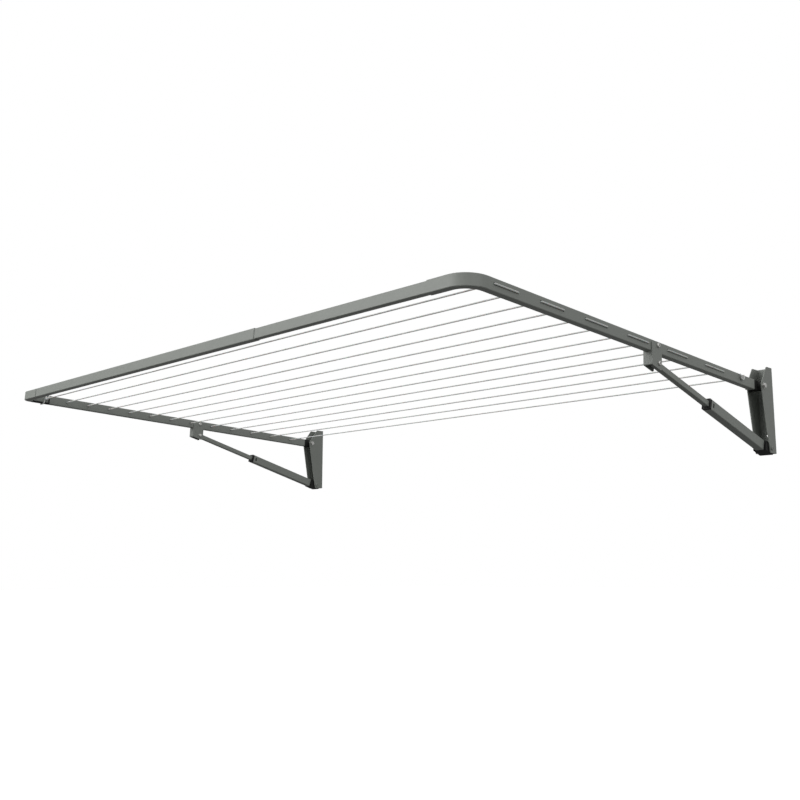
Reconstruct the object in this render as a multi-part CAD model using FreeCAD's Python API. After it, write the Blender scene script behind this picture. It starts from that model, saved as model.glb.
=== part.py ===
import FreeCAD, Part
import math
import os

# Wall-mounted fold-down drying rack: a rectangular tube frame strung with one drying line, hinged
# between the cheeks of two wall brackets and held up by two telescopic struts.
# Units are millimetres.  +Z is up, the wall is the plane y = 0, and the rack reaches out along -Y.
# The origin is the centre of the four wall-screw holes, on the wall face.
# "Right" is +X and "left" is -X.  The moving frame is drawn level and then raised by RAISE_DEG.

# ---------------------------------------------------------------- driving dimensions
WIDTH = 2100.0            # outside of the two arms
DEPTH = 1350.0            # wall to the front face of the frame, frame level
TUBE_W = 20.0             # frame tube, across
TUBE_H = 30.0             # frame tube, up
TUBE_WALL = 1.2
TUBE_R = 2.5              # outside corner radius of the tubes
SLIP = 0.2                # gap round a piece that slips into a tube
RAISE_DEG = 2.75          # the open frame stands this much above level

# wall brackets: folded channels, with heights measured from the arm hinge axis
SCREW_PITCH = 180.0       # between the two wall screws of one bracket
SCREW_R = 4.0
PIVOT_OUT = 64.0          # arm hinge axis from the wall
PIVOT_Z = 50.0            # arm hinge axis above the origin
BRACKET_W = 46.0
PLATE = 2.5
CHEEK_TOP = 60.0
CHEEK_WIDEST = 4.0
CHEEK_LOW = -196.0
CHEEK_TOP_OUT = 36.0      # how far a cheek reaches from the wall at those three heights
CHEEK_WIDEST_OUT = 78.0
CHEEK_LOW_OUT = 42.0

# strut axes
FOOT_OUT = 33.0           # foot axis from the wall
FOOT_DROP = 182.0         # foot axis below the arm hinge axis
HEAD_ALONG = 567.0        # head axis along the arm from the arm hinge axis
HEAD_DROP = 42.0          # head axis below the arm's centreline

# front bar and corners
BEND_R = 60.0             # outside radius of the right corner
ELBOW_R = 30.0            # outside radius of the left corner
STUB_END = 930.0          # x where the right arm's tube ends
SPLICE = 325.0            # x where the front bar's large tube ends and its small tube shows
ELBOW_END = -942.0        # x where the left elbow's front leg ends
ELBOW_GAP = 3.0           # gap between that end and the front bar, with the insert in it
ELBOW_LEG_END = -1264.0   # y where the left elbow's arm leg ends
SPIGOT = 60.0             # how far a joining piece goes into the tube round it
ARM_TUBE_END = -95.0      # y where the arms' steel tube ends

# left elbow's insert, where it shows
BAND_T = 6.0              # band between the elbow and the left arm
SOLE_L = 55.0             # sole along the underside of the elbow's arm leg
SOLE_T = 4.5
SLOT_Y = -1309.0          # small window in the elbow's inner side
SLOT_L = 5.0
SLOT_H = 13.0

# drying line
LINE_R = 2.0
LINE_COUNT = 13
LINE_FIRST = 78.0         # first line, behind the front face
LINE_PITCH = 91.0         # mean spacing of the lines
LINE_GROWTH = 2.5         # each gap is this much wider than the one in front of it
LINE_RAISE = 1.5          # line holes above the arm's centreline
LINE_HOLE_R = 3.5
LINE_BEND_R = 3.0         # where the line turns along an arm's outer face
LINE_OFF = 0.2            # between the line and the face that it lies on
WRAP_FORWARD = 3.5        # middle of the first wrap, in front of the first line
WRAP_SLANT = 5.0          # how far the wrap leans each way on the tube's sides

# fasteners
BOLT_R = 4.0
BORE_R = 4.05             # bolt hole or running bore
HEX_FLATS = 13.0
HEX_HEAD_T = 5.3
NUT_T = 6.5
WASHER_R = 8.5
WASHER_T = 1.6
DOME_R = 6.5              # round-headed bolts
DOME_T = 4.0
RIVET_R = 2.0
RIVET_HEAD_R = 3.5
RIVET_HEAD_T = 1.2
RIVET_DEPTH = 3.2         # rivet's shank below the tube's face

# strut brackets on the arms, measured from the head axis or from the arm's centreline
EAR_GAP = 0.3             # between an ear and the arm
EAR_FORWARD = 33.0
EAR_BACK = 13.0
EAR_RISE = 10.0
EAR_FALL_FRONT = 50.0
EAR_FALL_REAR = 60.0
FIX_FORWARD = 4.5         # fixing bolt, in front of the head axis
FIX_RISE = 3.5

# struts; places along a strut are measured from its foot axis
OUTER_W = 25.0            # lower tube
OUTER_H = 30.0
OUTER_WALL = 1.3
OUTER_START = 30.0
OUTER_END = 346.0
INNER_SIZE = 16.0         # upper tube, square
INNER_WALL = 1.2
INNER_R = 1.8
INNER_START = 289.0
INNER_PAST = 10.0         # upper tube past the head axis
SHOE_W = 38.0
SHOE_BACK = 20.0          # shoe past the foot axis, towards the wall
SHOE_PLUG = 12.0
COLLAR_OUT = 8.0          # collar past the lower tube's mouth
COLLAR_IN = 30.0
WINDOW_BACK = 11.5        # middle of the side windows, behind the mouth
WINDOW_L = 7.0
WINDOW_H = 12.0
RUN_GAP = 0.3             # gap round a sliding piece
BUSH_R = 5.5

# arm knuckles
KNUCKLE_PLUG = 45.0
KNUCKLE_SIDE_GAP = 0.5    # between a knuckle's barrel and a cheek

# ---------------------------------------------------------------- worked out from them
ARM_X = WIDTH / 2 - TUBE_W / 2
FRONT_Y = -DEPTH
BAR_Y = FRONT_Y + TUBE_W / 2
UNDERSIDE = PIVOT_Z - TUBE_H / 2
HALF_BRACKET = BRACKET_W / 2
CHEEK_IN = HALF_BRACKET - PLATE
HEAD_Y = -PIVOT_OUT - HEAD_ALONG
HEAD_Z = PIVOT_Z - HEAD_DROP
FIX_Y = HEAD_Y - FIX_FORWARD
FIX_Z = PIVOT_Z + FIX_RISE
EAR_IN = TUBE_W / 2 + EAR_GAP
EAR_OUT = EAR_IN + PLATE
EAR_FRONT = HEAD_Y - EAR_FORWARD
EAR_REAR = HEAD_Y + EAR_BACK
EAR_TOP = PIVOT_Z + EAR_RISE
LEFT_ARM_START = ELBOW_LEG_END + BAND_T
CORE_INSET = TUBE_WALL + SLIP
CORE_W = TUBE_W - 2 * CORE_INSET
CORE_H = TUBE_H - 2 * CORE_INSET
CORE_R = TUBE_R - CORE_INSET
ROOM_W = OUTER_W - 2 * OUTER_WALL              # inside of a strut's lower tube
ROOM_H = OUTER_H - 2 * OUTER_WALL
LINE_Z = PIVOT_Z + LINE_RAISE
FACE_OFF = TUBE_W / 2 + LINE_R + LINE_OFF      # line's centre beside an arm's centreline
TURN_X = ARM_X + FACE_OFF - LINE_BEND_R        # where a span ends and a turn begins
HINGE = FreeCAD.Vector(0, -PIVOT_OUT, PIVOT_Z)
FOOT = FreeCAD.Vector(0, -FOOT_OUT, PIVOT_Z - FOOT_DROP)
X_AXIS = FreeCAD.Vector(1, 0, 0)
Y_AXIS = FreeCAD.Vector(0, 1, 0)
Z_AXIS = FreeCAD.Vector(0, 0, 1)
SIDES = {"right": ARM_X, "left": -ARM_X}


# ---------------------------------------------------------------- shapes
def vec(x, y, z):
    return FreeCAD.Vector(x, y, z)


def block(x0, x1, y0, y1, z0, z1):
    return Part.makeBox(x1 - x0, y1 - y0, z1 - z0, vec(x0, y0, z0))


def rod(radius, x0, x1, y=0.0, z=0.0):
    """Cylinder along X."""
    return Part.makeCylinder(radius, x1 - x0, vec(x0, y, z), X_AXIS)


def fused(first, *others):
    for other in others:
        first = first.fuse(other)
    return first.removeSplitter()


def drilled(shape, *tools):
    for tool in tools:
        shape = shape.cut(tool)
    return shape


def moved(shape, x):
    shape = shape.copy()
    shape.translate(vec(x, 0, 0))
    return shape


def raised(shape):
    """Turn a part of the level frame up to where the open frame stands."""
    shape = shape.copy()
    shape.rotate(HINGE, X_AXIS, -RAISE_DEG)
    return shape


def prism(points, run):
    """Solid swept straight from a closed polygon."""
    wire = Part.makePolygon(list(points) + [points[0]])
    return Part.Face(wire).extrude(run)


def rounded(shape, radius, wanted):
    """Fillet the edges along X that stand at the (y, z) places wanted."""
    def chosen(edge):
        centre = edge.CenterOfMass
        along_x = abs(edge.tangentAt(edge.FirstParameter).x) > 0.999
        return along_x and any(math.hypot(centre.y - y, centre.z - z) < 0.01 for y, z in wanted)
    return shape.makeFillet(radius, [edge for edge in shape.Edges if chosen(edge)])


def bar(width, height, radius, start, run):
    """Solid bar with rounded long edges; the middle of its first end is at start."""
    across = run.cross(Z_AXIS).normalize() * (width / 2)
    rise = Z_AXIS * (height / 2)
    corners = [start - across - rise, start + across - rise, start + across + rise, start - across + rise]
    unit = vec(run.x, run.y, run.z).normalize()
    solid = prism(corners, run)
    long_edges = [e for e in solid.Edges if abs(e.tangentAt(e.FirstParameter).dot(unit)) > 0.999]
    return solid.makeFillet(radius, long_edges)


def tube(width, height, wall, radius, start, run):
    """Rectangular tube."""
    inside = bar(width - 2 * wall, height - 2 * wall, radius - wall, start, run)
    return bar(width, height, radius, start, run).cut(inside)


def bent_bar(arm_x, corner_r, bar_end, arm_end, inset):
    """Bar along the front, round one corner and back along an arm; inset thins it all round."""
    side = math.copysign(1, arm_x)
    width = TUBE_W - 2 * inset
    height = TUBE_H - 2 * inset
    radius = TUBE_R - inset
    centre = vec(side * (WIDTH / 2 - corner_r), FRONT_Y + corner_r, PIVOT_Z)
    across = bar(width, height, radius, vec(bar_end, BAR_Y, PIVOT_Z), vec(centre.x - bar_end, 0, 0))
    along = bar(width, height, radius, vec(arm_x, arm_end, PIVOT_Z), vec(0, centre.y - arm_end, 0))
    end_face = max(across.Faces, key=lambda face: side * face.CenterOfMass.x)
    return fused(across, end_face.revolve(centre, Z_AXIS, side * 90), along)


def rounded_path(points, radii):
    """Wire of straight runs joined by tangent arcs, with one radius for each inner point."""
    edges = []
    last = points[0]
    for before, here, after, radius in zip(points, points[1:], points[2:], radii):
        back = (before - here).normalize()
        ahead = (after - here).normalize()
        half_angle = back.getAngle(ahead) / 2
        reach = radius / math.tan(half_angle)
        start = here + back * reach
        end = here + ahead * reach
        middle = here + (back + ahead).normalize() * (radius / math.sin(half_angle) - radius)
        if last.distanceToPoint(start) > 1e-6:
            edges.append(Part.LineSegment(last, start).toShape())
        edges.append(Part.Arc(start, middle, end).toShape())
        last = end
    if last.distanceToPoint(points[-1]) > 1e-6:
        edges.append(Part.LineSegment(last, points[-1]).toShape())
    return Part.Wire(edges)


def cord(points, radii):
    """Round cord along a rounded path."""
    section = Part.Wire([Part.makeCircle(LINE_R, points[0], points[1] - points[0])])
    return rounded_path(points, radii).makePipeShell([section], True, False)


def hexagon(flats, x0, x1, y, z):
    """Hexagonal prism along X with two flats level."""
    corner_r = flats / math.sqrt(3)
    angles = [math.radians(60 * k) for k in range(6)]
    points = [vec(x0, y + corner_r * math.cos(a), z + corner_r * math.sin(a)) for a in angles]
    return prism(points, vec(x1 - x0, 0, 0))


# ---------------------------------------------------------------- fasteners
def hex_bolt(under_head, tip, y, z):
    """Hexagon-headed bolt along X, its head on the +X end."""
    return fused(rod(BOLT_R, tip, under_head, y, z),
                 hexagon(HEX_FLATS, under_head, under_head + HEX_HEAD_T, y, z))


def dome_bolt(under_head, tip, y, z):
    """Round-headed socket bolt along X, its head on the +X end."""
    crown = under_head + DOME_T
    head = rod(DOME_R, under_head, crown, y, z)
    head = head.makeFillet(2.5, [e for e in head.Edges if abs(e.CenterOfMass.x - crown) < 0.01])
    socket = hexagon(4.0, crown - 2.0, crown + 1, y, z)
    return fused(rod(BOLT_R, tip, under_head, y, z), head).cut(socket)


def hex_nut(x0, x1, y, z):
    return hexagon(HEX_FLATS, x0, x1, y, z).cut(rod(BOLT_R, x0 - 1, x1 + 1, y, z))


# ---------------------------------------------------------------- wall brackets
def wall_bracket():
    """Folded channel: a web on the wall, and a cheek on each side."""
    top = PIVOT_Z + CHEEK_TOP
    low = PIVOT_Z + CHEEK_LOW
    widest = PIVOT_Z + CHEEK_WIDEST
    profile = ((0, low), (-CHEEK_LOW_OUT, low), (-CHEEK_WIDEST_OUT, widest), (-CHEEK_TOP_OUT, top), (0, top))
    outline = [vec(-HALF_BRACKET, y, z) for y, z in profile]
    solid = prism(outline, vec(BRACKET_W, 0, 0))
    solid = rounded(solid, 15.0, [(-CHEEK_WIDEST_OUT, widest)])
    solid = rounded(solid, 5.0, [(-CHEEK_TOP_OUT, top), (-CHEEK_LOW_OUT, low)])
    folds = [e for e in solid.Edges
             if abs(e.CenterOfMass.y) < 0.01 and abs(abs(e.CenterOfMass.x) - HALF_BRACKET) < 0.01]
    solid = solid.makeFillet(3.0, folds)
    inside = block(-CHEEK_IN, CHEEK_IN, -CHEEK_WIDEST_OUT - 5, -PLATE, low - 5, top + 5)
    screws = [Part.makeCylinder(SCREW_R, 3 * PLATE, vec(0, -2 * PLATE, z), Y_AXIS)
              for z in (-SCREW_PITCH / 2, SCREW_PITCH / 2)]
    pivots = [rod(BORE_R, -BRACKET_W, BRACKET_W, axis.y, axis.z) for axis in (HINGE, FOOT)]
    return drilled(solid, inside, *screws, *pivots)


def arm_pivot_bolt(x):
    seat = HALF_BRACKET + WASHER_T
    return hex_bolt(x + seat, x - seat - NUT_T - 1.5, HINGE.y, HINGE.z)


def arm_pivot_nut(x):
    face = x - HALF_BRACKET - WASHER_T
    return hex_nut(face - NUT_T, face, HINGE.y, HINGE.z)


def arm_pivot_washers(x):
    starts = (x + HALF_BRACKET, x - HALF_BRACKET - WASHER_T)
    hole = rod(BORE_R, x - BRACKET_W, x + BRACKET_W, HINGE.y, HINGE.z)
    return [rod(WASHER_R, start, start + WASHER_T, HINGE.y, HINGE.z).cut(hole) for start in starts]


def foot_pins(x):
    """The foot bolt as two headed stubs, one in each cheek, clear of the shoe between them."""
    right = dome_bolt(x + HALF_BRACKET, x + CHEEK_IN, FOOT.y, FOOT.z)
    return [right, right.mirror(vec(x, 0, 0), X_AXIS)]


# ---------------------------------------------------------------- frame tubes
def line_y(number):
    """y of a drying line, number 0 being the one nearest the front bar."""
    wider = LINE_GROWTH * number * (number - (LINE_COUNT - 1)) / 2
    return FRONT_Y + LINE_FIRST + LINE_PITCH * number + wider


def arm_holes(x, first_line):
    """Cutters through an arm's two side walls: the line holes and the strut bracket's bolt hole."""
    low = x - TUBE_W
    high = x + TUBE_W
    holes = [rod(LINE_HOLE_R, low, high, line_y(n), LINE_Z) for n in range(first_line, LINE_COUNT)]
    return holes + [rod(BORE_R, low, high, FIX_Y, FIX_Z)]


def right_arm_tube():
    """Right arm, its corner bend and the short stub of the front bar, bent from one tube."""
    outside = bent_bar(ARM_X, BEND_R, STUB_END, ARM_TUBE_END, 0.0)
    inside = bent_bar(ARM_X, BEND_R, STUB_END, ARM_TUBE_END, TUBE_WALL)
    return drilled(outside, inside, *arm_holes(ARM_X, 0), *rivet_holes())


def left_arm_tube():
    run = vec(0, ARM_TUBE_END - LEFT_ARM_START, 0)
    solid = tube(TUBE_W, TUBE_H, TUBE_WALL, TUBE_R, vec(-ARM_X, LEFT_ARM_START, PIVOT_Z), run)
    return drilled(solid, *arm_holes(-ARM_X, 1), *rivet_holes())


def sole_space(gap):
    """Space along the underside of the elbow's arm leg for the insert's sole, gap larger all round."""
    half = TUBE_W / 2 + gap
    return block(-ARM_X - half, -ARM_X + half, ELBOW_LEG_END - SOLE_L - gap, ELBOW_LEG_END + gap,
                 UNDERSIDE - gap, UNDERSIDE + SOLE_T + gap)


def left_elbow():
    outside = bent_bar(-ARM_X, ELBOW_R, ELBOW_END, ELBOW_LEG_END, 0.0)
    inside = bent_bar(-ARM_X, ELBOW_R, ELBOW_END, ELBOW_LEG_END, TUBE_WALL)
    slot = block(-ARM_X, -ARM_X + TUBE_W, SLOT_Y - SLOT_L / 2, SLOT_Y + SLOT_L / 2,
                 PIVOT_Z - SLOT_H / 2, PIVOT_Z + SLOT_H / 2)
    return drilled(outside, inside, sole_space(0.1), slot, *rivet_holes())


def left_elbow_insert():
    """Moulded corner piece inside the elbow; it plugs into the front bar and the left arm."""
    core = bent_bar(-ARM_X, ELBOW_R, ELBOW_END + SPIGOT, ELBOW_LEG_END + SPIGOT, CORE_INSET)
    end = ELBOW_LEG_END + 0.1
    band = bar(TUBE_W, TUBE_H, TUBE_R, vec(-ARM_X, end, PIVOT_Z), vec(0, BAND_T - 0.2, 0))
    under = bar(TUBE_W, TUBE_H, TUBE_R, vec(-ARM_X, end - SOLE_L, PIVOT_Z), vec(0, SOLE_L, 0))
    return drilled(fused(core, band, under.common(sole_space(0.1))), *rivet_holes())


def front_bar_outer_tube():
    start = ELBOW_END + ELBOW_GAP
    solid = tube(TUBE_W, TUBE_H, TUBE_WALL, TUBE_R, vec(start, BAR_Y, PIVOT_Z), vec(SPLICE - start, 0, 0))
    return drilled(solid, *rivet_holes())


def front_bar_inner_tube():
    """Smaller tube that shows from the splice to the right stub and slips into both."""
    start = SPLICE - SPIGOT
    run = vec(STUB_END + SPIGOT / 2 - start, 0, 0)
    solid = tube(CORE_W, CORE_H, TUBE_WALL, CORE_R + 0.5, vec(start, BAR_Y, PIVOT_Z), run)
    return drilled(solid, *rivet_holes())


# ---------------------------------------------------------------- blind rivets on the joints' hidden sides
def at_rivets(shape):
    """Copies of a shape drawn along +X, pointing out of each riveted face."""
    half = TUBE_W / 2
    along_bar = (STUB_END + 18, SPLICE - 25, ELBOW_END + 25, ELBOW_END - 25)
    places = [(90, vec(x, BAR_Y + half, PIVOT_Z)) for x in along_bar]
    places.append((180, vec(-ARM_X - half, LEFT_ARM_START + 25, PIVOT_Z)))
    copies = []
    for turn, place in places:
        copy = shape.copy()
        copy.rotate(vec(0, 0, 0), Z_AXIS, turn)
        copy.translate(place)
        copies.append(copy)
    return copies


def rivet_holes():
    return at_rivets(rod(RIVET_R + 0.05, -RIVET_DEPTH - 0.3, 1))


def rivets():
    head = rod(RIVET_HEAD_R, 0, RIVET_HEAD_T)
    head = head.makeFillet(0.9, [e for e in head.Edges if abs(e.CenterOfMass.x - RIVET_HEAD_T) < 0.01])
    return at_rivets(fused(rod(RIVET_R, -RIVET_DEPTH, 0), head))


# ---------------------------------------------------------------- arm knuckles
def arm_knuckle(x):
    """Nylon end of an arm: plug in the tube, neck, and a barrel round the hinge bolt."""
    plug = bar(CORE_W, CORE_H, CORE_R, vec(x, ARM_TUBE_END - KNUCKLE_PLUG, PIVOT_Z), vec(0, KNUCKLE_PLUG, 0))
    neck = bar(TUBE_W, TUBE_H, TUBE_R, vec(x, ARM_TUBE_END, PIVOT_Z), vec(0, HINGE.y - ARM_TUBE_END, 0))
    half = CHEEK_IN - KNUCKLE_SIDE_GAP
    barrel = rod(TUBE_H / 2, x - half, x + half, HINGE.y, HINGE.z)
    return fused(plug, neck, barrel).cut(rod(BORE_R, x - BRACKET_W, x + BRACKET_W, HINGE.y, HINGE.z))


# ---------------------------------------------------------------- strut brackets on the arms
def strut_bracket(x):
    """Folded channel: a web under the arm, facing the front, and an ear on each side of the arm."""
    low_front = PIVOT_Z - EAR_FALL_FRONT
    low_rear = PIVOT_Z - EAR_FALL_REAR
    outline = [vec(x - EAR_OUT, y, z) for y, z in ((EAR_REAR, EAR_TOP), (EAR_FRONT, EAR_TOP),
                                                   (EAR_FRONT, low_front), (EAR_REAR, low_rear))]
    solid = prism(outline, vec(2 * EAR_OUT, 0, 0))
    solid = rounded(solid, 3.0, [(EAR_REAR, EAR_TOP), (EAR_FRONT, EAR_TOP), (EAR_FRONT, low_front)])
    solid = rounded(solid, 6.0, [(EAR_REAR, low_rear)])
    under = UNDERSIDE - EAR_GAP
    for_arm = block(x - EAR_IN, x + EAR_IN, EAR_FRONT - 5, EAR_REAR + 5, under, EAR_TOP + 5)
    for_strut = block(x - EAR_IN, x + EAR_IN, EAR_FRONT + PLATE, EAR_REAR + 5, low_rear - 5, under + 1)
    holes = [rod(BORE_R, x - TUBE_W, x + TUBE_W, y, z) for y, z in ((HEAD_Y, HEAD_Z), (FIX_Y, FIX_Z))]
    return drilled(solid, for_arm, for_strut, *holes)


def ear_bolt(x, y, z):
    return dome_bolt(x + EAR_OUT, x - EAR_OUT - NUT_T - 1.0, y, z)


def ear_nut(x, y, z):
    return hex_nut(x - EAR_OUT - NUT_T, x - EAR_OUT, y, z)


# ---------------------------------------------------------------- drying line
EAR_TURN = 7              # the left turn that starts at this line passes over an ear
HITCH = 5.0               # length of the hitch between the first wrap and the first line
HITCH_R = 3.4
KNOT_R = 4.0


def line_span(number):
    """One straight run from arm to arm; the first one ends at its hitch on the left elbow."""
    left_end = -ARM_X + FACE_OFF + HITCH if number == 0 else -TURN_X
    return rod(LINE_R, left_end, TURN_X, line_y(number), LINE_Z)


def line_turn(side, number):
    """The line along an arm's outer face, from one line to the next."""
    inside_x = side * TURN_X
    face_x = side * (ARM_X + FACE_OFF)
    y0 = line_y(number)
    y1 = line_y(number + 1)
    corners = ((inside_x, y0), (face_x, y0), (face_x, y1), (inside_x, y1))
    points = [vec(x, y, LINE_Z) for x, y in corners]
    radii = [LINE_BEND_R, LINE_BEND_R]
    if side < 0 and number == EAR_TURN:
        over = EAR_TOP + LINE_R + 0.5
        points[2:2] = [vec(face_x, EAR_FRONT - 4, over), vec(face_x, EAR_REAR + 4, over)]
        radii[1:1] = [4.0, 8.0]
    return cord(points, radii)


def line_start():
    """One turn round the left elbow's arm leg, slanting on its sides, and the hitch to the first line."""
    half_h = TUBE_H / 2 + LINE_R + LINE_OFF
    y = line_y(0) - WRAP_FORWARD
    top = vec(-ARM_X, y + WRAP_SLANT, PIVOT_Z + half_h)
    corners = [vec(-ARM_X + sx * FACE_OFF, y + sz * WRAP_SLANT, PIVOT_Z + sz * half_h)
               for sx, sz in ((1, 1), (1, -1), (-1, -1), (-1, 1))]
    wrap = cord([top] + corners + [top], [LINE_BEND_R] * 4)
    root = -ARM_X + FACE_OFF
    stem = rod(LINE_R, root, root + HITCH, line_y(0), LINE_Z)
    return fused(wrap, stem, Part.makeSphere(HITCH_R, vec(root + 1.5, line_y(0), LINE_Z)))


def line_end():
    """Stem and overhand knot outside the right arm, with two short tails."""
    y = line_y(LINE_COUNT - 1)
    x = ARM_X + TUBE_W / 2 + KNOT_R + 0.2
    stem = rod(LINE_R, TURN_X, x, y, LINE_Z)
    tails = [Part.makeCylinder(LINE_R, 11.0, vec(x, y, LINE_Z), vec(0.3, way, 0.8)) for way in (-0.9, 0.7)]
    return fused(Part.makeSphere(KNOT_R, vec(x, y, LINE_Z)), stem, *tails)


# ---------------------------------------------------------------- struts
# A strut is drawn along -Y with its foot axis at the origin, and then turned up and set in place.
def raised_head():
    """Strut's head axis with the frame raised, at x = 0."""
    turn = FreeCAD.Rotation(X_AXIS, -RAISE_DEG)
    return HINGE + turn.multVec(vec(0, HEAD_Y, HEAD_Z) - HINGE)


STRUT_RUN = raised_head() - FOOT
STRUT_LENGTH = STRUT_RUN.Length
STRUT_DEG = math.degrees(math.atan2(STRUT_RUN.z, -STRUT_RUN.y))


def set_strut(shape, x):
    shape = shape.copy()
    shape.rotate(vec(0, 0, 0), X_AXIS, -STRUT_DEG)
    shape.translate(FOOT + vec(x, 0, 0))
    return shape


def slab(half_w, near, far, z0, z1):
    """Block on a strut's middle plane; near and far are distances from the foot axis."""
    return block(-half_w, half_w, -far, -near, z0, z1)


def strut_bar(width, height, radius, near, far):
    return bar(width, height, radius, vec(0, -near, 0), vec(0, near - far, 0))


def window_space(half_w, gap):
    """Space of the two side windows by the lower tube's mouth, gap smaller all round."""
    middle = OUTER_END - WINDOW_BACK
    return slab(half_w, middle - WINDOW_L / 2 + gap, middle + WINDOW_L / 2 - gap,
                -WINDOW_H / 2 + gap, WINDOW_H / 2 - gap)


def strut_outer_tube():
    run = vec(0, OUTER_START - OUTER_END, 0)
    solid = tube(OUTER_W, OUTER_H, OUTER_WALL, TUBE_R, vec(0, -OUTER_START, 0), run)
    return solid.cut(window_space(OUTER_W, 0.0))


def strut_collar():
    """Nylon mouth of the lower tube: lip, plug, and tabs that snap into the side windows."""
    plug = strut_bar(ROOM_W - 0.2, ROOM_H - 0.2, 1.1, OUTER_END - COLLAR_IN, OUTER_END + 1)
    lip = strut_bar(OUTER_W, OUTER_H, TUBE_R, OUTER_END + 0.05, OUTER_END + COLLAR_OUT)
    tabs = window_space(ROOM_W / 2 + 0.4, 0.15)
    bore_size = INNER_SIZE + 2 * RUN_GAP
    bore = strut_bar(bore_size, bore_size, 1.5, OUTER_END - COLLAR_IN - 5, OUTER_END + COLLAR_OUT + 5)
    return fused(plug, lip, tabs).cut(bore)


def strut_shoe():
    """Nylon foot between the cheeks, with a plug in the lower tube and the foot bolt's bore."""
    top = OUTER_H / 2 - 0.8
    low = -OUTER_H / 2
    end = OUTER_START - 0.1
    body = slab(SHOE_W / 2, -SHOE_BACK, end, low, top)
    body = rounded(body, 6.0, [(SHOE_BACK, top), (SHOE_BACK, low)])
    body = rounded(body, 3.0, [(-end, top), (-end, low)])
    plug = strut_bar(ROOM_W - 0.3, ROOM_H - 0.3, 1.0, OUTER_START - 2, OUTER_START + SHOE_PLUG)
    return fused(body, plug).cut(rod(BORE_R, -SHOE_W, SHOE_W))


def strut_inner_tube():
    solid = tube(INNER_SIZE, INNER_SIZE, INNER_WALL, INNER_R, vec(0, -INNER_START, 0),
                 vec(0, INNER_START - STRUT_LENGTH - INNER_PAST, 0))
    return solid.cut(rod(BUSH_R, -INNER_SIZE, INNER_SIZE, -STRUT_LENGTH))


def strut_inner_guide():
    """Slider on the upper tube's low end; it runs inside the lower tube."""
    pad = strut_bar(ROOM_W - 2 * RUN_GAP, ROOM_H - 2 * RUN_GAP, 1.2, INNER_START - 5.0, INNER_START)
    room = INNER_SIZE - 2 * INNER_WALL - 0.3
    return fused(pad, strut_bar(room, room, 0.5, INNER_START - 1, INNER_START + 16.0))


def strut_pivot_bush():
    """Bush through the upper tube's head, with a washer face towards each ear."""
    half = EAR_IN - RUN_GAP
    side = INNER_SIZE / 2 + 0.05
    sleeve = rod(BUSH_R - 0.05, -half, half, -STRUT_LENGTH)
    washers = [rod(7.0, side, half, -STRUT_LENGTH), rod(7.0, -half, -side, -STRUT_LENGTH)]
    return fused(sleeve, *washers).cut(rod(BORE_R, -TUBE_W, TUBE_W, -STRUT_LENGTH))


# ---------------------------------------------------------------- write every node
def write(name, shapes):
    """Write one node; several separate solids go into one file."""
    shapes = shapes if isinstance(shapes, list) else [shapes]
    solids = [solid for shape in shapes for solid in shape.Solids]
    for solid in solids:
        if not solid.isValid() or solid.Volume <= 0:
            raise ValueError("bad solid in " + name)
    shape = solids[0] if len(solids) == 1 else Part.makeCompound(solids)
    shape.exportStep("parts/" + name + ".step")
    print("%-26s %2d solid(s) %9.1f mm3" % (name, len(solids), shape.Volume))


def main():
    os.makedirs("parts", exist_ok=True)
    xs = list(SIDES.values())
    write("arm_pivot_bolts", [arm_pivot_bolt(x) for x in xs])
    write("arm_pivot_nuts", [arm_pivot_nut(x) for x in xs])
    write("arm_pivot_washers", [washer for x in xs for washer in arm_pivot_washers(x)])
    write("strut_foot_pins", [pin for x in xs for pin in foot_pins(x)])

    write("right_arm_tube", raised(right_arm_tube()))
    write("left_arm_tube", raised(left_arm_tube()))
    write("left_elbow", raised(left_elbow()))
    write("left_elbow_insert", raised(left_elbow_insert()))
    write("front_bar_outer_tube", raised(front_bar_outer_tube()))
    write("front_bar_inner_tube", raised(front_bar_inner_tube()))
    write("frame_rivets", [raised(rivet) for rivet in rivets()])
    write("strut_bracket_bolts", [raised(ear_bolt(x, FIX_Y, FIX_Z)) for x in xs])
    write("strut_bracket_nuts", [raised(ear_nut(x, FIX_Y, FIX_Z)) for x in xs])
    write("strut_pivot_bolts", [raised(ear_bolt(x, HEAD_Y, HEAD_Z)) for x in xs])
    write("strut_pivot_nuts", [raised(ear_nut(x, HEAD_Y, HEAD_Z)) for x in xs])

    write("drying_line_spans", [raised(line_span(n)) for n in range(LINE_COUNT)])
    write("drying_line_turns_right", [raised(line_turn(1, n)) for n in range(0, LINE_COUNT - 1, 2)])
    write("drying_line_turns_left", [raised(line_turn(-1, n)) for n in range(1, LINE_COUNT - 1, 2)])
    write("drying_line_start", raised(line_start()))
    write("drying_line_end", raised(line_end()))

    strut_parts = {"strut_inner_tube": strut_inner_tube, "strut_inner_guide": strut_inner_guide,
                   "strut_pivot_bush": strut_pivot_bush, "strut_outer_tube": strut_outer_tube,
                   "strut_collar": strut_collar, "strut_shoe": strut_shoe}
    for side, x in SIDES.items():
        write("wall_bracket_" + side, moved(wall_bracket(), x))
        write("arm_knuckle_" + side, raised(arm_knuckle(x)))
        write("strut_bracket_" + side, raised(strut_bracket(x)))
        for name, maker in strut_parts.items():
            write(name + "_" + side, set_strut(maker(), x))
    print("strut length %.3f, strut angle %.4f deg" % (STRUT_LENGTH, STRUT_DEG))


main()
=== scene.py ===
import math
import bmesh
import bpy
from mathutils import Matrix, Vector


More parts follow.
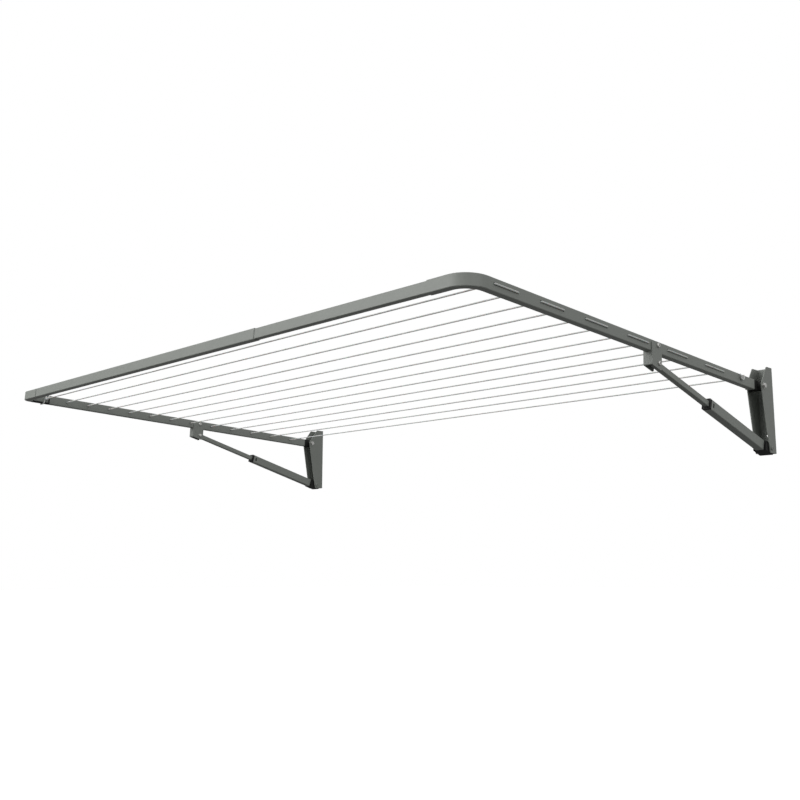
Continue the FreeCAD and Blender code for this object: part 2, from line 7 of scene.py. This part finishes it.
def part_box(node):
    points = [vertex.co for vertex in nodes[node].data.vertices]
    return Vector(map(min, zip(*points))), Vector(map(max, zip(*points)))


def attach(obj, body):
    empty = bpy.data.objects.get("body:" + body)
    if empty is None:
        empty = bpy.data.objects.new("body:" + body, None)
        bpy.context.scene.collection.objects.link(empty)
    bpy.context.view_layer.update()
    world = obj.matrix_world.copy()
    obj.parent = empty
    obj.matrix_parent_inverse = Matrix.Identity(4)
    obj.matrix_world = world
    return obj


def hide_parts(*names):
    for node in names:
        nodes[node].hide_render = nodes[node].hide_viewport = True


# Looks of the wall-mounted fold-down drying rack, in metres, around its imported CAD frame.

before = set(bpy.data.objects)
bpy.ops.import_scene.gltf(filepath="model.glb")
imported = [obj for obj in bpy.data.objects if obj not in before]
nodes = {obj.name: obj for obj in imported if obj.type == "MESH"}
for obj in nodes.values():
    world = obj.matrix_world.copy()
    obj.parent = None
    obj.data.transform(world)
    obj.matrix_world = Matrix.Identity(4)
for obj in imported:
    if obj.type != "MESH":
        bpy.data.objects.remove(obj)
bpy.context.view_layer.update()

# ---------------------------------------------------------------- driving values
LINE_R = 0.0020
BEND_REACH = 0.006         # how far from a corner the line starts to bend
SPAN_START = 0.001         # first span runs this far into its hitch
EAR_CLEAR = 0.004          # line's bends before and after the ear it passes over
RING_REACH = 0.0045        # the same as BEND_REACH, for the ring round the left elbow
HITCH_TURNS = 3
HITCH_STEPS = 8            # points to a turn
HITCH_R = 0.0036           # middle of the hitch's turns, from the line that they lie on
HITCH_LENGTH = 0.0125
HITCH_ROOT = (-0.002, 0, 0.001)        # hitch's first point, from where its turns start
HITCH_TAIL = ((0.002, 0.0022, 0.0012), (0.0062, 0.0042, 0.0030), (0.0098, 0.0050, 0.0052))
PLATE_EDGE = 0.0004        # rounding of the pressed plates' edges
MOULD_EDGE = 0.0004
SHARP_DEG = 40             # edges sharper than this are rounded
FLAT_DEG = 0.5             # faces flatter than this to each other are joined before that
MERGE = 0.000002           # corners closer than this are one

COAT = (0.190, 0.203, 0.186)
BRACKET = (0.170, 0.182, 0.166)
NYLON = (0.0065, 0.0068, 0.0066)
ZINC = (0.62, 0.62, 0.60)
CORD = (0.56, 0.57, 0.555)

CAMERA_AT = (2.2596, -2.7238, -0.4403)
CAMERA_TURN = math.degrees(0.775)      # from +Y towards -X
CAMERA_RISE = math.degrees(0.162)      # above the horizon
CAMERA_LENS = 42.71
CAMERA_SHIFT = -0.025

FLOOR_Z = -1.9
FLOOR_R = 40.0
SKY_BAND = (-0.30, 0.40)   # heights of view between which the sky's light grows
SKY_LOW = 0.18
SKY_HIGH = 0.72
SKY_SEEN = 1.0             # what the camera sees of it
LIT_POINT = (0, -0.6, 0.0)
# name, place, size and power of each area light
LIGHTS = (("key", (-2.0, -6.0, 2.4), (5.0, 4.0), 250.0),
          ("side", (12.0, -3.0, 3.0), (6.0, 6.0), 230.0))
FLOOR_GLOW = (0.30, 1.0)   # the floor's own light, under the rack and far from it
FLOOR_FADE = (2.0, 11.0)   # distances at which the one ends and the other starts


# ---------------------------------------------------------------- materials
class Shader:
    """A material's node tree, with the Principled shader ready and short ways to add nodes."""

    def __init__(self, name, base, roughness, metallic=0.0):
        self.material = bpy.data.materials.new(name)
        self.material.use_nodes = True
        self.tree = self.material.node_tree
        self.principled = self.tree.nodes["Principled BSDF"]
        self.principled.inputs["Base Color"].default_value = (*base, 1)
        self.principled.inputs["Roughness"].default_value = roughness
        self.principled.inputs["Metallic"].default_value = metallic
        self.place = self.node("ShaderNodeTexCoord").outputs["Object"]

    def node(self, kind, **values):
        made = self.tree.nodes.new(kind)
        for name, value in values.items():
            setattr(made, name, value)
        return made

    def link(self, source, target):
        self.tree.links.new(source, target)

    def noise(self, scale, detail=2.0, stretch=(1, 1, 1)):
        """Noise with so many cells to the metre."""
        mapping = self.node("ShaderNodeMapping")
        mapping.inputs["Scale"].default_value = stretch
        self.link(self.place, mapping.inputs["Vector"])
        made = self.node("ShaderNodeTexNoise")
        made.inputs["Scale"].default_value = scale
        made.inputs["Detail"].default_value = detail
        self.link(mapping.outputs["Vector"], made.inputs["Vector"])
        return made.outputs["Fac"]

    def spread(self, value, low, high, start=0.3, stop=0.7):
        """Map a 0-1 value, noise mostly, to the range low-high."""
        made = self.node("ShaderNodeMapRange")
        made.inputs["From Min"].default_value = start
        made.inputs["From Max"].default_value = stop
        made.inputs["To Min"].default_value = low
        made.inputs["To Max"].default_value = high
        self.link(value, made.inputs["Value"])
        return made.outputs["Result"]

    def mixed(self, share, first, second):
        """Colour between first and second; each is a colour or a socket."""
        made = self.node("ShaderNodeMix", data_type="RGBA")
        self.link(share, made.inputs["Factor"])
        for socket, value in ((made.inputs[6], first), (made.inputs[7], second)):
            if isinstance(value, tuple):
                socket.default_value = (*value, 1)
            else:
                self.link(value, socket)
        return made.outputs[2]

    def edges(self, radius):
        """1 along sharp edges and 0 on flat faces."""
        bevel = self.node("ShaderNodeBevel", samples=4)
        bevel.inputs["Radius"].default_value = radius
        geometry = self.node("ShaderNodeNewGeometry")
        dot = self.node("ShaderNodeVectorMath", operation="DOT_PRODUCT")
        self.link(bevel.outputs["Normal"], dot.inputs[0])
        self.link(geometry.outputs["Normal"], dot.inputs[1])
        return self.spread(dot.outputs["Value"], 1.0, 0.0, 0.80, 0.99)

    def bump(self, *layers):
        """Stack of bumps; each layer is (height, strength, depth in metres)."""
        normal = None
        for height, strength, depth in layers:
            made = self.node("ShaderNodeBump")
            made.inputs["Strength"].default_value = strength
            made.inputs["Distance"].default_value = depth
            self.link(height, made.inputs["Height"])
            if normal is not None:
                self.link(normal, made.inputs["Normal"])
            normal = made.outputs["Normal"]
        self.link(normal, self.principled.inputs["Normal"])

    def colour(self, socket):
        self.link(socket, self.principled.inputs["Base Color"])

    def rough(self, socket):
        self.link(socket, self.principled.inputs["Roughness"])


def scaled(colour, factor):
    return tuple(c * factor for c in colour)


def powder_coat(name, base):
    """Satin powder coat: fine orange peel, a faint speckle, and a painted highlight along the sharp edges."""
    s = Shader(name, base, 0.5)
    cloud = s.spread(s.noise(9.0, 4.0), 0.0, 1.0)
    speckle = s.spread(s.noise(2600.0, 1.0), 0.0, 1.0, 0.42, 0.60)
    tone = s.mixed(cloud, scaled(base, 0.95), scaled(base, 1.05))
    flecked = s.mixed(speckle, tone, scaled(base, 1.22))
    # Sharp edges 1.75 times paler: painted highlight where the edges catch the light.
    painted_edge_highlight = s.mixed(s.edges(0.0007), flecked, scaled(base, 1.75))
    s.colour(painted_edge_highlight)
    s.rough(s.spread(s.noise(420.0, 2.0), 0.42, 0.56))
    s.bump((s.noise(650.0, 2.0), 0.35, 0.00012), (s.noise(2400.0, 1.0), 0.20, 0.00004))
    s.principled.inputs["Specular IOR Level"].default_value = 0.45
    return s.material


def moulded_nylon(name):
    """Black moulded nylon with a fine spark-eroded grain and a painted highlight along the sharp edges."""
    s = Shader(name, NYLON, 0.6)
    haze = s.spread(s.noise(60.0, 4.0), 0.0, 1.0)
    tone = s.mixed(haze, scaled(NYLON, 0.75), scaled(NYLON, 1.5))
    # Sharp edges 3.5 times paler: painted highlight where the edges catch the light.
    s.colour(s.mixed(s.edges(0.0005), tone, scaled(NYLON, 3.5)))
    s.rough(s.spread(s.noise(240.0, 3.0), 0.50, 0.68))
    s.bump((s.noise(3200.0, 2.0), 0.35, 0.00005))
    s.principled.inputs["Specular IOR Level"].default_value = 0.25
    return s.material


def zinc(name):
    """Bright zinc plate: soft mottling, faint tool marks and a painted highlight along the sharp edges."""
    s = Shader(name, ZINC, 0.28, 1.0)
    mottle = s.spread(s.noise(700.0, 3.0), 0.0, 1.0)
    tone = s.mixed(mottle, scaled(ZINC, 0.82), scaled(ZINC, 1.12))
    # Sharp edges 1.3 times paler: painted highlight where the edges catch the light.
    s.colour(s.mixed(s.edges(0.0004), tone, scaled(ZINC, 1.3)))
    s.rough(s.spread(s.noise(1500.0, 2.0), 0.20, 0.38))
    s.bump((s.noise(2600.0, 2.0, (0.15, 1, 1)), 0.15, 0.00003))
    return s.material


def pvc_line(name):
    """PVC-coated line: pale grey, with faint ribbing of the core and slight handling marks."""
    s = Shader(name, CORD, 0.42)
    marks = s.spread(s.noise(35.0, 5.0), 0.0, 1.0, 0.35, 0.75)
    s.colour(s.mixed(marks, scaled(CORD, 1.05), scaled(CORD, 0.86)))
    s.rough(s.spread(s.noise(300.0, 2.0), 0.34, 0.52))
    s.bump((s.noise(900.0, 2.0, (0.25, 1, 1)), 0.30, 0.00008))
    s.principled.inputs["Subsurface Weight"].default_value = 0.05
    return s.material


def pale_floor(name):
    """Pale floor that fades into the white backdrop away from the rack."""
    s = Shader(name, (0.86, 0.86, 0.86), 0.9)
    cloud = s.spread(s.noise(1.2, 3.0), 0.0, 1.0)
    s.colour(s.mixed(cloud, (0.85, 0.85, 0.85), (0.88, 0.88, 0.88)))
    away = s.node("ShaderNodeVectorMath", operation="LENGTH")
    s.link(s.place, away.inputs[0])
    glow = s.spread(away.outputs["Value"], *FLOOR_GLOW, *FLOOR_FADE)
    s.link(glow, s.principled.inputs["Emission Strength"])
    s.principled.inputs["Emission Color"].default_value = (1, 1, 1, 1)
    return s.material


SLOT_OF = {name: node.data.materials[0].name for name, node in nodes.items()}
MATERIALS = {
    "frame_coat": powder_coat("frame powder coat", COAT),
    "bracket_coat": powder_coat("bracket powder coat", BRACKET),
    "nylon": moulded_nylon("moulded nylon"),
    "fastener": zinc("bright zinc"),
    "line": pvc_line("pvc line"),
}


def paint(piece, slot):
    piece.data.materials.clear()
    piece.data.materials.append(MATERIALS[slot])


# ---------------------------------------------------------------- CAD nodes: finish and edges
def soft_edges(piece, width, segments=2):
    """Small rounding on the sharp edges, so that they catch light."""
    weld = piece.modifiers.new("weld", "WELD")
    weld.merge_threshold = MERGE
    flat = piece.modifiers.new("flat", "DECIMATE")
    flat.decimate_type = "DISSOLVE"
    flat.angle_limit = math.radians(FLAT_DEG)
    bevel = piece.modifiers.new("edge", "BEVEL")
    bevel.width = width
    bevel.segments = segments
    bevel.limit_method = "ANGLE"
    bevel.angle_limit = math.radians(SHARP_DEG)
    bevel.use_clamp_overlap = True
    normals = piece.modifiers.new("normals", "WEIGHTED_NORMAL")
    normals.keep_sharp = False


EDGES = {"wall_bracket": PLATE_EDGE, "strut_bracket_left": PLATE_EDGE, "strut_bracket_right": PLATE_EDGE,
         "strut_shoe": MOULD_EDGE, "arm_knuckle": MOULD_EDGE}

for name, node in nodes.items():
    paint(node, SLOT_OF[name])
    for start, width in EDGES.items():
        if name.startswith(start):
            soft_edges(node, width)


# ---------------------------------------------------------------- drying line
def islands(name):
    """Lowest and highest corner of each separate solid of a CAD node."""
    form = bmesh.new()
    form.from_mesh(nodes[name].data)
    bmesh.ops.remove_doubles(form, verts=form.verts, dist=0.000001)
    left = set(form.verts)
    boxes = []
    while left:
        stack = [left.pop()]
        found = list(stack)
        while stack:
            near = {edge.other_vert(vert) for vert in [stack.pop()] for edge in vert.link_edges}
            fresh = near & left
            left -= fresh
            stack += fresh
            found += fresh
        boxes.append([Vector(pick(v.co[axis] for v in found) for axis in range(3)) for pick in (min, max)])
    form.free()
    return boxes


def cord_piece(name, points, closed=False, sides=4):
    """Round line of the drying line's thickness along a smooth spline, as a mesh."""
    curve = bpy.data.curves.new(name, "CURVE")
    curve.dimensions = "3D"
    curve.bevel_depth = LINE_R
    curve.bevel_resolution = sides
    curve.resolution_u = 8
    curve.use_fill_caps = not closed
    spline = curve.splines.new("NURBS")
    spline.points.add(len(points) - 1)
    for point, place in zip(spline.points, points):
        point.co = (*place, 1)
    spline.use_cyclic_u = closed
    spline.order_u = 3
    spline.use_endpoint_u = not closed
    form = bpy.data.objects.new(name, curve)
    mesh = bpy.data.meshes.new_from_object(form)
    mesh.name = name
    bpy.data.objects.remove(form)
    piece = bpy.data.objects.new(name, mesh)
    bpy.context.collection.objects.link(piece)
    for polygon in mesh.polygons:
        polygon.use_smooth = True
    paint(piece, "line")
    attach(piece, "frame")
    return piece


def with_bends(corners, reach=BEND_REACH, closed=False):
    """The corners of a route, with a point on each side of every bend, so that its bends are tight."""
    count = len(corners)
    bends = range(count) if closed else range(1, count - 1)
    points = []
    for number in bends:
        here = corners[number]
        before = corners[number - 1] - here
        after = corners[(number + 1) % count] - here
        points.append(here + before.normalized() * min(reach, before.length / 2))
        points.append(here)
        points.append(here + after.normalized() * min(reach, after.length / 2))
    return points if closed else [corners[0]] + points + [corners[-1]]


spans = sorted(islands("drying_line_spans"), key=lambda box: box[0].y)
span_places = [(low + high) / 2 for low, high in spans]
lane_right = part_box("drying_line_turns_right")[1].x - LINE_R
lane_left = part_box("drying_line_turns_left")[0].x + LINE_R
ear_low, ear_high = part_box("strut_bracket_left")


def over_ear(first, second):
    """Two more corners where the line passes over the left strut bracket's ear."""
    slope = (second.z - first.z) / (second.y - first.y)
    turn = next(box for box in islands("drying_line_turns_left") if box[0].y < ear_low.y < box[1].y)
    ys = (ear_low.y - EAR_CLEAR, ear_high.y + EAR_CLEAR)
    lift = turn[1].z - LINE_R - (first.z + slope * (ys[0] - first.y))
    return [Vector((lane_left, y, first.z + slope * (y - first.y) + lift)) for y in ys]


def whole_line():
    """The line from the hitch on the left elbow, to and fro across the frame, to the last hole."""
    corners = [Vector((spans[0][0].x - SPAN_START, span_places[0].y, span_places[0].z))]
    for number, place in enumerate(span_places):
        lane = lane_right if number % 2 == 0 else lane_left
        if number > 0:
            opening = lane_left if number % 2 == 0 else lane_right
            corners.append(Vector((opening, place.y, place.z)))
        if number + 1 < len(span_places):
            corners.append(Vector((lane, place.y, place.z)))
            if lane == lane_left and place.y < ear_low.y < span_places[number + 1].y:
                corners += over_ear(place, span_places[number + 1])
    end = span_places[-1]
    corners.append(Vector((lane_right, end.y, end.z)))
    line = cord_piece("drying_line", with_bends(corners))
    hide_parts("drying_line_spans", "drying_line_turns_right", "drying_line_turns_left")


def hitch():
    """The line's start: a ring round the left elbow's leg, and a barrel hitch on the first span."""
    low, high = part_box("drying_line_start")
    first = span_places[0]
    arm_low, arm_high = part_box("left_arm_tube")
    face = arm_low.x + arm_high.x - lane_left
    ring_y = (low.y + high.y) / 2
    slant = (high.y - low.y) / 2 - LINE_R
    bottom = low.z + LINE_R
    top = high.z - LINE_R
    sides = ((face, top, slant), (face, bottom, -slant), (lane_left, bottom, -slant), (lane_left, top, slant))
    corners = [Vector((x, ring_y + lean, z)) for x, z, lean in sides]
    cord_piece("drying_line_ring", with_bends(corners, RING_REACH, closed=True), closed=True)
    start = face - LINE_R
    turns = []
    steps = HITCH_STEPS * HITCH_TURNS
    for step in range(steps + 1):
        angle = math.pi / 2 + 2 * math.pi * step / HITCH_STEPS
        turns.append(Vector((start + HITCH_LENGTH * step / steps, first.y + HITCH_R * math.cos(angle),
                             first.z + HITCH_R * math.sin(angle))))
    root = Vector((start, first.y, first.z)) + Vector(HITCH_ROOT)
    tail = [turns[-1] + Vector(step) for step in HITCH_TAIL]
    barrel = cord_piece("drying_line_hitch", [root] + turns + tail)
    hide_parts("drying_line_start")


# Overhand knot outside the last hole, in the arm face's own directions: along the arm towards the
# wall, up, and out from the face.  In multiples of the line's radius.
KNOT = ((0, 0, -2.67), (0, 0, 0.33), (0.13, -0.53, 2), (2.27, -1.73, 2.4), (3.2, 0.4, 1.87),
        (1.47, 2.27, 1.33), (-1.73, 2, 1.6), (-3.07, 0.13, 2.4), (-1.87, -1.87, 3.2),
        (0.67, -1.87, 3.73), (2.13, 0.13, 3.87), (3.6, 2.27, 3.07), (5.2, 4.27, 2), (6.27, 5.87, 1.47))
SECOND_TAIL = ((1.07, -0.93, 2), (-0.4, 0.27, 3.07), (-2.27, 1.87, 3.07), (-4.13, 3.87, 2),
               (-5.47, 5.6, 1.47))


def knot():
    """The line's end: an overhand knot with two tails outside the right arm."""
    place = Vector((lane_right - LINE_R, span_places[-1].y, span_places[-1].z))
    along = span_places[-1] - span_places[0]
    along.x = 0
    along.normalize()
    up = Vector((1, 0, 0)).cross(along)
    turn = Matrix((along, up, Vector((1, 0, 0)))).transposed()
    pieces = [cord_piece(name, [place + turn @ Vector(point) * LINE_R for point in route])
              for name, route in (("drying_line_knot", KNOT), ("drying_line_second_tail", SECOND_TAIL))]
    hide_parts("drying_line_end")


whole_line()
hitch()
knot()


# ---------------------------------------------------------------- stage, light and camera
def floor():
    mesh = bpy.data.meshes.new("floor")
    made = bpy.data.objects.new("floor", mesh)
    bpy.context.collection.objects.link(made)
    form = bmesh.new()
    bmesh.ops.create_circle(form, cap_ends=True, segments=96, radius=FLOOR_R)
    form.to_mesh(mesh)
    form.free()
    made.location.z = FLOOR_Z
    made.visible_diffuse = False
    made.visible_glossy = False
    mesh.materials.append(pale_floor("floor"))


def area_light(name, at, size, power):
    light = bpy.data.lights.new(name, "AREA")
    light.shape = "RECTANGLE"
    light.size, light.size_y = size
    light.energy = power
    made = bpy.data.objects.new(name, light)
    made.location = at
    made.rotation_euler = (Vector(LIT_POINT) - Vector(at)).to_track_quat("-Z", "Y").to_euler()
    bpy.context.collection.objects.link(made)


def camera():
    data = bpy.data.cameras.new("camera")
    data.lens = CAMERA_LENS
    data.sensor_width = 36.0
    data.shift_x = CAMERA_SHIFT
    made = bpy.data.objects.new("camera", data)
    made.location = CAMERA_AT
    made.rotation_euler = (math.radians(90 + CAMERA_RISE), 0, math.radians(CAMERA_TURN))
    bpy.context.collection.objects.link(made)
    bpy.context.scene.camera = made


def studio_world():
    """White to look at; as light, it is strong from above and weak from below."""
    world = bpy.data.worlds.new("studio")
    world.use_nodes = True
    tree = world.node_tree
    background = tree.nodes["Background"]
    place = tree.nodes.new("ShaderNodeTexCoord")
    split = tree.nodes.new("ShaderNodeSeparateXYZ")
    tree.links.new(place.outputs["Generated"], split.inputs[0])
    height = tree.nodes.new("ShaderNodeMapRange")
    height.inputs["From Min"].default_value = SKY_BAND[0]
    height.inputs["From Max"].default_value = SKY_BAND[1]
    height.inputs["To Min"].default_value = SKY_LOW
    height.inputs["To Max"].default_value = SKY_HIGH
    tree.links.new(split.outputs["Z"], height.inputs["Value"])
    rays = tree.nodes.new("ShaderNodeLightPath")
    seen = tree.nodes.new("ShaderNodeMix")
    tree.links.new(rays.outputs["Is Camera Ray"], seen.inputs["Factor"])
    tree.links.new(height.outputs["Result"], seen.inputs["A"])
    seen.inputs["B"].default_value = SKY_SEEN
    tree.links.new(seen.outputs["Result"], background.inputs["Strength"])
    background.inputs["Color"].default_value = (1, 1, 1, 1)
    bpy.context.scene.world = world


floor()
camera()
studio_world()
for light in LIGHTS:
    area_light(*light)
bpy.context.scene.view_settings.view_transform = "Standard"
